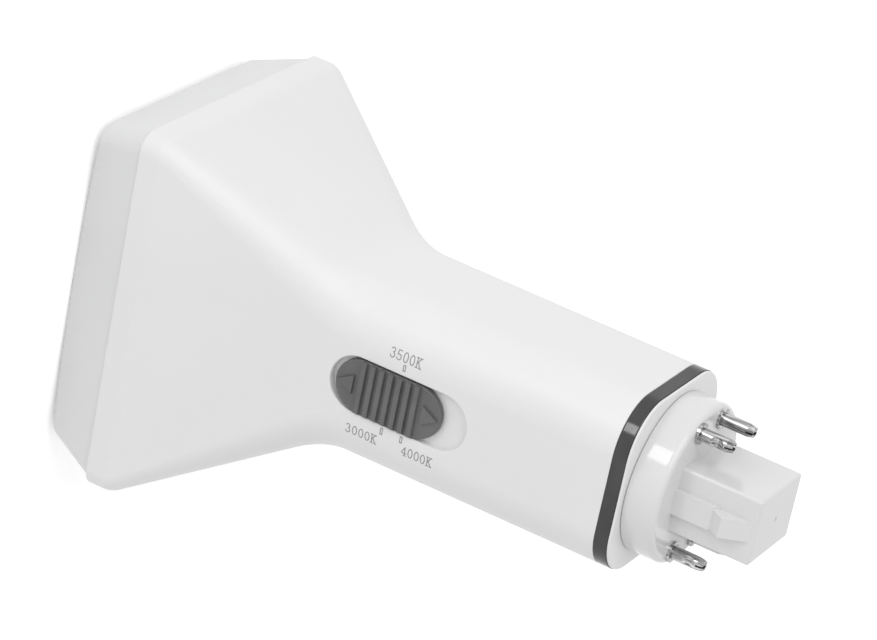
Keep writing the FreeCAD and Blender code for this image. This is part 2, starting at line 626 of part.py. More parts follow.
def boardRails(body):
    """Guide rails hold the driver board by its long edges."""
    rails = newSketch(body, "RailOutline", "board_level")
    for side in ("", "-"):
        x = "%s(board_wide / 2 + rail_wide / 2 - rail_thick)" % side
        rectangle(rails, "rail_wide", "rail_thick", x, "-board_back - fit_gap - rail_thick / 2")
        rectangle(rails, "rail_wide", "rail_thick", x, "board_rear + fit_gap + rail_thick / 2")
    pad(body, "Rails", rails, "board_long")


def selectorRecess(body):
    """The selector's recess has its own floor, with a slot for the knob's stem."""
    wall = newSketch(body, "RecessBacking", "neck_side - recess_depth - recess_floor", "XZ_Plane")
    stadium(wall, "recess_wide + 2 * recess_floor", "recess_long + 2 * recess_floor", "recess_middle")
    pad(body, "RecessBack", wall, "recess_depth + recess_floor - shell_wall / 2")
    dish = newSketch(body, "RecessOutline", "neck_side + trim_reach", "XZ_Plane")
    stadium(dish, "recess_wide", "recess_long", "recess_middle")
    opening = pocket(body, "Recess", dish, "trim_reach + recess_depth")
    rim, floor = number("neck_side"), number("neck_side - recess_depth")
    half = number("recess_long") / 2
    fillet(body, "RecessRim", opening, "recess_edge",
           lambda e: all(floor + near < -v.Y < rim + 2 * near and abs(v.X) < number("recess_wide") / 2 + near
                         and abs(v.Z - number("recess_middle")) < half + near for v in e.Vertexes))
    slot = newSketch(body, "SlotOutline", "neck_side", "XZ_Plane")
    rectangle(slot, "stem_wide + 2 * slot_gap", "stem_long + knob_travel + 2 * slot_gap", "0",
              "recess_middle")
    pocket(body, "StemSlot", slot, "recess_depth + recess_floor + root")


def hookCatches(body):
    """Two grooves inside the neck's end catch the hooks of the end cap's skirt."""
    grooves = newSketch(body, "CatchSide", plane="YZ_Plane")
    low, high = "neck_end - cap_hook_level - cap_hook_ramp - fit_gap", "neck_end - cap_hook_level + fit_gap"
    for side in ("", "-"):
        polygon(grooves, [(side + "(cap_plug - fit_gap)", low), (side + "(cap_plug - fit_gap)", high),
                          (side + "(cap_plug + cap_hook_rise + fit_gap)", high),
                          (side + "(cap_plug + cap_hook_rise + fit_gap)", low)])
    catches = feature(body, "Pocket", "Catches", grooves, Length="cap_hook_long + 2 * fit_gap")
    catches.Midplane = True


def makeHousing():
    body = newBody("housing")
    shellOutside(body)
    shellInside(body)
    screwBosses(body)
    boardRails(body)
    selectorRecess(body)
    hookCatches(body)
    return body


def makeTrimRing():
    body = newBody("trim_ring")
    band = bandAt(body, "RingOutline", "neck_end", ("neck_end_width", "neck_end_width", "neck_corner"),
                  ("neck_end_width - 2 * ring_wall", "neck_end_width - 2 * ring_wall",
                   "neck_corner - ring_wall"))
    ring = pad(body, "RingBand", band, "ring_height")
    reach = number("neck_end_width") / 2 - number("ring_wall") / 2
    fillet(body, "RingEdges", ring, "ring_edge",
           lambda e: (atLevel(e, number("neck_end")) or atLevel(e, number("ring_end")))
           and max(max(abs(v.X), abs(v.Y)) for v in e.Vertexes) > reach)
    return body


def makeEndCap():
    body = newBody("end_cap")
    lip = "neck_end_width - 2 * cap_lip_inset"
    core = "neck_end_width - 2 * ring_wall - 2 * fit_gap"
    plug = "2 * cap_plug"
    pad(body, "CapCore", outlineAt(body, "CoreOutline", "neck_end", core, core, "neck_corner - ring_wall"),
        "ring_height")
    top = pad(body, "CapLip", outlineAt(body, "LipOutline", "ring_end", lip, lip, "neck_corner"), "cap_lip")
    fillet(body, "LipRound", top, "cap_lip_round", lambda e: atLevel(e, number("cap_top")))
    corner = "neck_corner - shell_wall"
    skirt = bandAt(body, "CapSkirtOutline", "neck_end", (plug, plug, corner),
                   (plug + " - 2 * cap_skirt_wall", plug + " - 2 * cap_skirt_wall",
                    corner + " - cap_skirt_wall"))
    pad(body, "CapSkirt", skirt, "cap_skirt_height", reverse=True)
    barbs = newSketch(body, "CapHookSide", plane="YZ_Plane")
    for side in ("", "-"):
        polygon(barbs, [(side + "(cap_plug - root)", "neck_end - cap_hook_level"),
                        (side + "(cap_plug + cap_hook_rise)", "neck_end - cap_hook_level"),
                        (side + "(cap_plug - root)", "neck_end - cap_hook_level - cap_hook_ramp")])
    hooks = feature(body, "Pad", "CapHooks", barbs, Length="cap_hook_long")
    hooks.Midplane = True
    seat = newSketch(body, "SeatOutline", "cap_top")
    circle(seat, "0", "0", "collar_foot + fit_gap")
    pocket(body, "CollarSeat", seat, "cap_seat_depth")
    hole = newSketch(body, "WireHoleOutline", "cap_top")
    circle(hole, "0", "0", "cap_hole_radius")
    pocket(body, "WireHole", hole, "cap_lip + ring_height + root")
    legs = newSketch(body, "LegWindows", "cap_top")
    rectangle(legs, "leg_wide + 2 * slot_gap", "2 * (leg_outside + fit_gap)")
    pocket(body, "LegWindow", legs, "cap_lip + ring_height + root")
    return body


def makePlugBase():
    body = newBody("plug_base")
    foot = newSketch(body, "CollarFootOutline", "seat_level")
    circle(foot, "0", "0", "collar_foot")
    pad(body, "CollarFoot", foot, "cap_seat_depth + collar_reveal")
    disc = newSketch(body, "CollarOutline", "collar_level")
    circle(disc, "0", "0", "collar_diameter / 2")
    collar = pad(body, "Collar", disc, "collar_height - collar_reveal")
    fillet(body, "CollarRound", collar, "collar_round", lambda e: atLevel(e, number("collar_top")))
    post = newSketch(body, "PostOutline", "collar_top")
    rectangle(post, "post_thick", "post_wide")
    block = pad(body, "Post", post, "post_height")
    base, end = number("collar_top"), number("post_top")
    fillet(body, "PostEdges", block, "post_round",
           lambda e: atLevel(e, end) or (len(e.Vertexes) == 2 and min(v.Z for v in e.Vertexes) < base + near
                                         and max(v.Z for v in e.Vertexes) > end - near))
    gate = newSketch(body, "GateOutline", "post_top")
    circle(gate, "0", "0", "gate_radius")
    pocket(body, "GateMark", gate, "gate_depth")

    # Latch on both wide sides: a rail that rises to a crest and slopes back to the post's end.
    side = "post_wide / 2"
    rail = newSketch(body, "RailSide", plane="YZ_Plane")
    for sign in ("", "-"):
        polygon(rail, [(sign + "(%s - latch_root)" % side, "collar_top - latch_root"),
                       (sign + "(%s + latch_rise)" % side, "collar_top - latch_root"),
                       (sign + "(%s + latch_rise)" % side, "collar_top + latch_length"),
                       (sign + "(%s - latch_root)" % side, "collar_top + latch_length + latch_slope")])
    rails = feature(body, "Pad", "LatchRails", rail, Length="latch_wide")
    rails.Midplane = True
    wedge = newSketch(body, "NoseSide", plane="YZ_Plane")
    for sign in ("", "-"):
        polygon(wedge, [(sign + "(%s - latch_root)" % side, "collar_top + latch_length"),
                        (sign + "(%s + latch_rise)" % side, "collar_top + latch_length"),
                        (sign + "(%s + nose_rise)" % side, "collar_top + nose_crest"),
                        (sign + "%s" % side, "collar_top + nose_end"),
                        (sign + "(%s - latch_root)" % side, "collar_top + nose_end")])
    noses = feature(body, "Pad", "LatchNoses", wedge, Length="nose_wide")
    noses.Midplane = True

    # Hollow from below: the collar, with a boss round each pin, and the post.
    inside = newSketch(body, "CollarInside", "seat_level")
    circle(inside, "0", "0", "leg_outside")
    pocket(body, "CollarHollow", inside, "collar_height + cap_seat_depth - collar_face", reverse=True)
    core = newSketch(body, "PostInside", "seat_level")
    rectangle(core, "post_thick - 2 * post_wall", "post_wide - 2 * post_wall")
    pocket(body, "PostHollow", core, "post_rise - post_wall", reverse=True)
    bosses = newSketch(body, "PinBosses", "collar_top - pin_tail")
    holes = newSketch(body, "PinHoles", "collar_top")
    for x in ("pin_pitch_long / 2", "-pin_pitch_long / 2"):
        for y in ("pin_pitch_short / 2", "-pin_pitch_short / 2"):
            circle(bosses, x, y, "pin_boss_radius")
            circle(holes, x, y, "pin_shank + press_gap")
    pad(body, "PinBoss", bosses, "pin_tail - collar_face / 2")
    pocket(body, "PinBores", holes, "pin_tail + root")

    # Two snap legs go through the end cap's windows and hook behind its floor.
    legs = newSketch(body, "LegOutline", "collar_top - collar_face / 2")
    hooks = newSketch(body, "HookSide", plane="YZ_Plane")
    for sign in ("", "-"):
        rectangle(legs, "leg_wide", "leg_thick", "0", sign + "(leg_outside - leg_thick / 2)")
        polygon(hooks, [(sign + "(leg_outside - leg_thick / 2)", "neck_end - fit_gap"),
                        (sign + "(leg_outside - leg_thick - leg_hook)", "neck_end - fit_gap"),
                        (sign + "(leg_outside - leg_thick / 2)", "neck_end - leg_below")])
    pad(body, "Legs", legs, "collar_top - collar_face / 2 - neck_end + leg_below", reverse=True)
    barbs = feature(body, "Pad", "LegHooks", hooks, Length="leg_wide")
    barbs.Midplane = True
    return body


def makePin(label, x_side, y_side):
    """A pin with a shank, a flange, a tip with a blind bore and a slit, and a dimple on its outer side."""
    body = newBody(label)
    profile = newSketch(body, label + "Profile", plane="XZ_Plane")
    top = "collar_top + pin_length"
    polygon(profile, [("0", "collar_top - pin_tail"), ("pin_shank", "collar_top - pin_tail"),
                      ("pin_shank", "collar_top"), ("pin_flange_radius", "collar_top"),
                      ("pin_flange_radius", "collar_top + pin_flange"),
                      ("pin_radius", "collar_top + pin_flange"), ("pin_radius", top + " - pin_nose"),
                      ("pin_nose_radius", top), ("pin_bore", top),
                      ("pin_bore", top + " - pin_bore_depth"), ("0", top + " - pin_bore_depth")])
    turned = feature(body, "Revolution", label + "Turned", profile)
    turned.ReferenceAxis = (profile, ["V_Axis"])
    turned.Angle = 360
    dimple = newSketch(body, label + "Dimple", plane="YZ_Plane")
    circle(dimple, "-(pin_radius + crimp_radius - crimp_depth)", "collar_top + crimp_level", "crimp_radius")
    scoop = feature(body, "Pocket", label + "Scoop", dimple, Length="4 * pin_radius")
    scoop.Midplane = True
    slit = newSketch(body, label + "SlitOutline", top)
    rectangle(slit, "pin_slit_wide", "4 * pin_radius")
    pocket(body, label + "Slit", slit, "pin_slit")
    body.Placement.Rotation = FreeCAD.Rotation(Vector(0, 0, 1), 0 if y_side == "-" else 180)
    body.setExpression("Placement.Base.x", bound(x_side + "pin_pitch_long / 2"))
    body.setExpression("Placement.Base.y", bound(y_side + "pin_pitch_short / 2"))
    return body


# The selector.

def makeKnob():
    body = newBody("switch_knob")
    plate = newSketch(body, "KnobOutline", "neck_side - recess_depth + knob_gap_floor", "XZ_Plane")
    stadium(plate, "knob_wide", "knob_long", "knob_middle")
    base = pad(body, "KnobPlate", plate, "recess_depth - knob_gap_floor + knob_proud")
    doc.recompute()
    front = -number("neck_side + knob_proud")
    fillet(body, "KnobRound", base, "knob_edge", lambda e: all(abs(v.Y - front) < near for v in e.Vertexes))

    # Ribs run across the knob, each a low trapezium in side view.
    rib = newSketch(body, "RibSide", plane="YZ_Plane")
    foot, crest = "-(neck_side + knob_proud - root)", "-(neck_side + knob_proud + rib_rise)"
    middle = "knob_middle - rib_pitch * (rib_count - 1) / 2"
    polygon(rib, [(foot, middle + " - rib_foot / 2"), (crest, middle + " - rib_top / 2"),
                  (crest, middle + " + rib_top / 2"), (foot, middle + " + rib_foot / 2")])
    first = feature(body, "Pad", "Rib", rib, Length="knob_wide - 2 * root")
    first.Midplane = True
    row = body.newObject("PartDesign::LinearPattern", "RibRow")
    row.Originals = [first]
    row.Direction = (rib, ["V_Axis"])
    row.setExpression("Length", bound("rib_pitch * (rib_count - 1)"))
    row.setExpression("Occurrences", bound("rib_count"))
    body.Tip = row

    # A raised arrow points outwards at each end.
    arrows = newSketch(body, "ArrowOutline", "neck_side + knob_proud - root", "XZ_Plane")
    for sign in ("+", "-"):
        back = "knob_middle %s (arrow_tip - arrow_long)" % sign
        polygon(arrows, [("0", "knob_middle %s arrow_tip" % sign), ("arrow_wide / 2", back),
                         ("-arrow_wide / 2", back)])
    pad(body, "Arrows", arrows, "root + arrow_rise")

    # The stem passes the slot, hooks behind the floor and holds the lever in its socket.
    stem = newSketch(body, "StemOutline", "neck_side - stem_depth", "XZ_Plane")
    rectangle(stem, "stem_wide", "stem_long", "0", "knob_middle")
    pad(body, "Stem", stem, "stem_depth - recess_depth + knob_gap_floor + root")
    hooks = newSketch(body, "StemHookOutline", "neck_side - recess_depth - recess_floor - knob_gap_floor",
                      "XZ_Plane")
    rectangle(hooks, "stem_hook_wide", "stem_long", "0", "knob_middle")
    pad(body, "StemHooks", hooks, "stem_hook_thick", reverse=True)
    socket = newSketch(body, "SocketOutline", "neck_side - stem_depth", "XZ_Plane")
    rectangle(socket, "lever_wide + 2 * lever_gap", "lever_long + 2 * lever_gap", "0", "knob_middle")
    pocket(body, "Socket", socket, "stem_depth - lever_depth + 2 * lever_gap", reverse=True)
    return body


def makeSlideSwitch():
    """A slide switch on the driver board, with the well that its lever runs in."""
    case = box("SwitchCase", "switch_wide", "switch_tall", "switch_long", "0",
               "-(board_back + switch_tall / 2)", "recess_middle - switch_long / 2")
    well = box("SwitchWell", "lever_wide + 2 * slot_gap", "2 * (lever_foot + slot_gap)",
               "lever_long + knob_travel + 2 * slot_gap", "0", "-switch_face",
               "recess_middle - (lever_long + knob_travel + 2 * slot_gap) / 2")
    return cut("slide_switch_body", case, well)


def makeLever():
    depth = "(neck_side - lever_depth - switch_face + lever_foot)"
    return box("slide_switch_lever", "lever_wide", depth, "lever_long", "0",
               "-(switch_face - lever_foot + %s / 2)" % depth, "knob_middle - lever_long / 2")


# The light source.

def screwHoles(body, name, level, depth):
    """Four screw holes and the hole for the leads in the middle."""
    holes = newSketch(body, name + "Outline", level)
    for x in ("screw_pitch_long / 2", "-screw_pitch_long / 2"):
        for y in ("screw_pitch_short / 2", "-screw_pitch_short / 2"):
            circle(holes, x, y, "screw_radius + screw_clearance")
    circle(holes, "0", "0", "lead_hole")
    return pocket(body, name, holes, depth, reverse=True)


def makeTray():
    body = newBody("heat_spreader")
    outline = ("tray_long", "tray_short", "tray_corner")
    pad(body, "TrayFloor", outlineAt(body, "TrayOutline", "tray_level", *outline), "tray_thick")
    edge = bandAt(body, "TrayEdgeOutline", "boss_foot", outline,
                  ("tray_long - 2 * tray_wall", "tray_short - 2 * tray_wall", "tray_corner - tray_wall"))
    pad(body, "TrayEdge", edge, "tray_flange")
    screwHoles(body, "TrayHoles", "tray_level", "tray_thick")
    return body


def makePanel():
    body = newBody("led_board")
    pad(body, "Panel", outlineAt(body, "PanelOutline", "panel_level", "panel_long", "panel_short",
                                 "tray_corner"), "panel_thick")
    screwHoles(body, "PanelHoles", "panel_level", "panel_thick")
    return body


def makeChips():
    """Columns and rows of chips in one quarter of the board, mirrored to the others."""
    body = newBody("led_chips")
    first = newSketch(body, "ChipOutline", "panel_level")
    rectangle(first, "chip_long", "chip_short", "chip_start_long", "chip_start_short")
    chip = pad(body, "Chip", first, "chip_thick", reverse=True)
    steps = []
    for axis, copies, pitch in (("H_Axis", "chip_columns", "chip_pitch_long"),
                                ("V_Axis", "chip_rows", "chip_pitch_short")):
        row = body.newObject("PartDesign::LinearPattern", "ChipRow" + axis[0])
        row.Direction = (first, [axis])
        row.setExpression("Length", bound("(%s - 1) * %s" % (copies, pitch)))
        row.setExpression("Occurrences", bound(copies))
        steps.append(row)
    for role in ("YZ_Plane", "XZ_Plane"):
        half = body.newObject("PartDesign::Mirrored", "ChipMirror" + role[:2])
        half.MirrorPlane = (next(f for f in body.Origin.OriginFeatures if f.Role == role), [""])
        steps.append(half)
    grid = body.newObject("PartDesign::MultiTransform", "ChipGrid")
    grid.Originals = [chip]
    grid.Transformations = steps
    body.Tip = grid
    return body


def makeScrews():
    body = newBody("board_screws")
    heads = newSketch(body, "ScrewHeads", "panel_level")
    shanks = newSketch(body, "ScrewShanks", "panel_level")
    for x in ("screw_pitch_long / 2", "-screw_pitch_long / 2"):
        for y in ("screw_pitch_short / 2", "-screw_pitch_short / 2"):
            circle(heads, x, y, "screw_head_radius")
            circle(shanks, x, y, "screw_radius")
    pad(body, "Heads", heads, "screw_head", reverse=True)
    pad(body, "Shanks", shanks, "screw_length")
    return body


# Wires: straight runs joined by tangent arcs, which take this share of the shorter run.
bend_share = 0.45


def makeWire(label, points):
    corners = [Vector(*(number(v) for v in point)) for point in points]
    edges, start = [], corners[0]
    for before, corner, after in zip(corners, corners[1:], corners[2:]):
        a, b = (before - corner).normalize(), (after - corner).normalize()
        half = (math.pi - a.getAngle(b)) / 2
        run = bend_share * min((before - corner).Length, (after - corner).Length)
        radius = run / math.tan(half)
        middle = (a + b).normalize()
        centre = corner + middle * (radius / math.cos(half))
        enter, leave = corner + a * run, corner + b * run
        edges.append(Part.LineSegment(start, enter).toShape())
        edges.append(Part.Arc(enter, centre - middle * radius, leave).toShape())
        start = leave
    edges.append(Part.LineSegment(start, corners[-1]).toShape())
    path = Part.Wire(edges)
    section = Part.Wire(Part.makeCircle(number("wire_radius"), corners[0], corners[1] - corners[0]))
    item = doc.addObject("Part::Feature", label)
    item.Label = label
    item.Shape = path.makePipeShell([section], True, True)
    return item


def makeLeads():
    """Three leads from the driver board's lower edge, through the tray, to the LED board's connector."""
    leads = []
    for name, x in (("lead_warm", "-lead_pitch"), ("lead_common", "0"), ("lead_cool", "lead_pitch")):
        leads.append(makeWire(name, [
            (x, "board_middle", "board_level"), (x, "board_middle", "board_level - lead_straight"),
            (x, "lead_bow", "board_level - lead_bend"), (x, "0", "panel_level + lead_rise"),
            (x, "0", "panel_level")]))
    return leads


def makePinLeads():
    """A wire from each contact pin, through the end cap, to the driver board's upper edge."""
    leads = []
    feet = ("pin_lead_outer", "pin_lead_inner", "pin_lead_inner", "pin_lead_outer")
    for i, ((x, y), foot) in enumerate(zip(PIN_CORNERS, feet)):
        leads.append(makeWire("pin_lead_%d" % (i + 1), [
            (x + "pin_pitch_long / 2", y + "pin_pitch_short / 2", "collar_top - pin_tail"),
            (x + "pin_pitch_long / 2", y + "pin_pitch_short / 2", "collar_top - pin_tail - pin_lead_drop"),
            (x + "pin_lead_inset", y + "pin_lead_depth", "neck_end + pin_lead_level"),
            (x + foot, "board_middle", "board_top + pin_lead_rise"),
            (x + foot, "board_middle", "board_top")]))
    return leads


# The driver: parts that stand on both sides of its board.

def makeCan(part):
    """An aluminium can that lies along the board, with a rolled groove near its foot."""
    body = newBody(part)
    radius, height = part + "_wide / 2", part + "_tall"
    inside = radius + " - can_edge"
    profile = newSketch(body, part + "Profile", plane="XZ_Plane")
    polygon(profile, [("0", "0"), (inside, "0"), (radius, "can_edge"), (radius, "can_groove_level"),
                      (radius + " - can_groove", "can_groove_level + can_groove"),
                      (radius, "can_groove_level + 2 * can_groove"), (radius, height + " - can_edge"),
                      (inside, height), ("0", height)])
    turned = feature(body, "Revolution", part + "Turned", profile)
    turned.ReferenceAxis = (profile, ["V_Axis"])
    turned.Angle = 360
    body.setExpression("Placement.Base.x", bound(part + "_middle"))
    body.setExpression("Placement.Base.y", bound("board_rear + " + radius))
    body.setExpression("Placement.Base.z", bound("board_level + %s_foot" % part))
    return body


def onBoard(part, face):
    """A block that stands on the board's rear or on its front, by the sizes under its name."""
    middle = {"rear": "board_rear + %s_deep / 2", "front": "-board_back - %s_deep / 2"}[face] % part
    return box(part, part + "_wide", part + "_deep", part + "_tall", part + "_middle", middle,
               "board_level + %s_foot" % part)


def makeTransformer():
    """A square core with a middle leg, and the coil that is wound round that leg."""
    middle, foot = "board_rear + coil_deep / 2", "board_level + core_level"
    opening, tall = foot + " + core_yoke", "core_tall - 2 * core_yoke"
    frame = box("CoreFrame", "core_wide", "core_deep", "core_tall", "0", middle, foot)
    windows = [box("CoreWindow" + name, "window_wide", "core_deep", tall,
                   side + "(leg_width + window_wide) / 2", middle, opening)
               for name, side in (("Left", "-"), ("Right", ""))]
    core = cut("transformer_core", frame, fuse("CoreWindows", *windows))
    coil = box("CoilBlock", "leg_width + 2 * window_wide - 2 * fit_gap", "coil_deep",
               tall + " - 2 * fit_gap", "0", middle, opening + " + fit_gap")
    bore = box("CoilBore", "leg_width + 2 * fit_gap", "core_deep + 2 * fit_gap", "core_tall", "0", middle,
               foot)
    return [core, cut("transformer_winding", coil, bore)]


def makeDriver():
    made = [box("driver_board", "board_wide", "board_thick", "board_long", "0", "board_middle",
                "board_level")]
    made += makeTransformer()
    made += [makeCan("bulk_capacitor"), makeCan("output_capacitor"), onBoard("film_capacitor", "rear")]
    made.append(rod("choke", "choke_wide / 2", "choke_deep", "choke_middle", "board_rear",
                    "board_level + choke_foot + choke_tall / 2", (Vector(1, 0, 0), -90)))
    made.append(rod("input_fuse", "input_fuse_tall / 2", "input_fuse_wide",
                    "input_fuse_middle - input_fuse_wide / 2", "board_rear + input_fuse_deep / 2",
                    "board_level + input_fuse_foot + input_fuse_tall / 2", (Vector(0, 1, 0), 90)))
    made += [onBoard(part, "front") for part in ("bridge_rectifier", "power_transistor", "controller_chip",
                                                 "surge_varistor")]
    return made


def checkAndExport(pieces):
    doc.recompute()
    for item in doc.Objects:
        if {"Invalid", "Error"} & set(item.State):
            raise ValueError(item.Name + " failed")
    for piece in pieces:
        if piece.Shape.isNull() or not piece.Shape.isValid() or not piece.Shape.Solids:
            raise ValueError(piece.Label + " has no valid solid")
    for piece in pieces:
        piece.Shape.exportStep("parts/%s.step" % piece.Label)
        print(piece.Label, len(piece.Shape.Solids), "solids", round(piece.Shape.Volume, 1), "cubic mm")


pieces = [makeDiffuser(), makeHousing(), makeTrimRing(), makeEndCap(), makePlugBase()]
pieces += [makePin("contact_pin_%d" % (i + 1), x, y) for i, (x, y) in enumerate(PIN_CORNERS)]
pieces += [makeKnob(), makeLever(), makeSlideSwitch(), makeTray(), makePanel(), makeChips(), makeScrews()]
pieces.append(box("board_connector", "connector_wide", "connector_deep", "connector_tall", "0", "0",
                  "panel_level - connector_tall"))
pieces += makeLeads() + makePinLeads() + makeDriver()
checkAndExport(pieces)
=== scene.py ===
import bpy
import numpy as np
from mathutils import Matrix, Vector


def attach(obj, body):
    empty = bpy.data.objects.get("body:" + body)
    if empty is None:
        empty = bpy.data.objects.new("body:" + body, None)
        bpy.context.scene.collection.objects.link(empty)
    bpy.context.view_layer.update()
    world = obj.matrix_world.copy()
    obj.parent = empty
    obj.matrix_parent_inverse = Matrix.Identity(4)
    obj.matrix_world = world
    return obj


# Plug-in LED lamp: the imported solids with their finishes, and what is printed on the neck.
# +Z runs towards the contact pins, the selector faces -Y, and the lamp stands on its diffuser.

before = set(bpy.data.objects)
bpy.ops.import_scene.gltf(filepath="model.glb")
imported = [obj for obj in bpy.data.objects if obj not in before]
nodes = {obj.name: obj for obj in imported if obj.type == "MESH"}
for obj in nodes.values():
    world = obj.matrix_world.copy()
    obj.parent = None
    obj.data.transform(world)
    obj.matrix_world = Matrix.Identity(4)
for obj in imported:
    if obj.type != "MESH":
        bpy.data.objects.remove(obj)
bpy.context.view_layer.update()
mm = 0.001
print("frame loaded,", len(nodes), "nodes")


def linear(hexColour):
    # an sRGB hex value as linear light, with an alpha of 1
    share = [int(hexColour[i:i + 2], 16) / 255 for i in (1, 3, 5)]
    return tuple(c / 12.92 if c <= 0.04045 else ((c + 0.055) / 1.055) ** 2.4 for c in share) + (1.0,)


def addNode(tree, kind, inputs=(), **settings):
    # a node with its settings; an input is a plain value or another node's output
    node = tree.nodes.new(kind)
    for name, value in settings.items():
        setattr(node, name, value)
    for socket, value in dict(inputs).items():
        if isinstance(value, bpy.types.NodeSocket):
            tree.links.new(value, node.inputs[socket])
        else:
            node.inputs[socket].default_value = value
    return node


# What all finishes share.
surface = {
    "noiseRange": {"From Min": 0.3, "From Max": 0.7},  # where nearly all of a noise lies
    "driftDetail": 2.0,
    "grainDetail": 3.0,
    "bumpStrength": 0.3,
    "milkyReach": (1.0, 0.9, 0.8),  # of the milky depth, for red, green and blue
}

# What a finish has that doesn't say otherwise.
plainLook = {"stretch": (1, 1, 1), "metallic": 0.0, "ior": 1.5, "milky": 0.0, "milkyDepth": 1.0}


def finish(name, ownLook):
    # One kind of surface: two close tints that drift over some millimetres, a fine grain that
    # breaks the gloss, and a slight bump. Sizes are in millimetres, and a stretch below 1 draws
    # tints and grain out along its axis.
    look = {**plainLook, **ownLook}
    material = bpy.data.materials.new(name)
    material.use_nodes = True
    tree = material.node_tree
    tree.nodes.clear()
    place = addNode(tree, "ShaderNodeTexCoord").outputs["Object"]
    stretch = addNode(tree, "ShaderNodeMapping", {"Vector": place, "Scale": look["stretch"]})
    drift = addNode(tree, "ShaderNodeTexNoise", {
        "Vector": stretch.outputs["Vector"], "Detail": surface["driftDetail"],
        "Scale": 1 / (look["drift"] * mm)})
    grain = addNode(tree, "ShaderNodeTexNoise", {
        "Vector": stretch.outputs["Vector"], "Detail": surface["grainDetail"],
        "Scale": 1 / (look["grain"] * mm)})
    share = addNode(tree, "ShaderNodeMapRange", {
        "Value": drift.outputs["Fac"], **surface["noiseRange"]})
    first, second = look["colours"]
    tint = addNode(tree, "ShaderNodeMix", {
        "Factor": share.outputs["Result"], "A": linear(first), "B": linear(second)}, data_type="RGBA")
    low, high = look["roughness"]
    rough = addNode(tree, "ShaderNodeMapRange", {
        "Value": grain.outputs["Fac"], "To Min": low, "To Max": high, **surface["noiseRange"]})
    bump = addNode(tree, "ShaderNodeBump", {
        "Height": grain.outputs["Fac"], "Strength": surface["bumpStrength"],
        "Distance": look["depth"] * mm})
    shader = addNode(tree, "ShaderNodeBsdfPrincipled", {
        "Base Color": tint.outputs[2], "Roughness": rough.outputs["Result"],
        "Normal": bump.outputs["Normal"], "Metallic": look["metallic"], "IOR": look["ior"],
        "Subsurface Weight": look["milky"], "Subsurface Radius": surface["milkyReach"],
        "Subsurface Scale": look["milkyDepth"] * mm})
    addNode(tree, "ShaderNodeOutputMaterial", {"Surface": shader.outputs["BSDF"]})
    return material


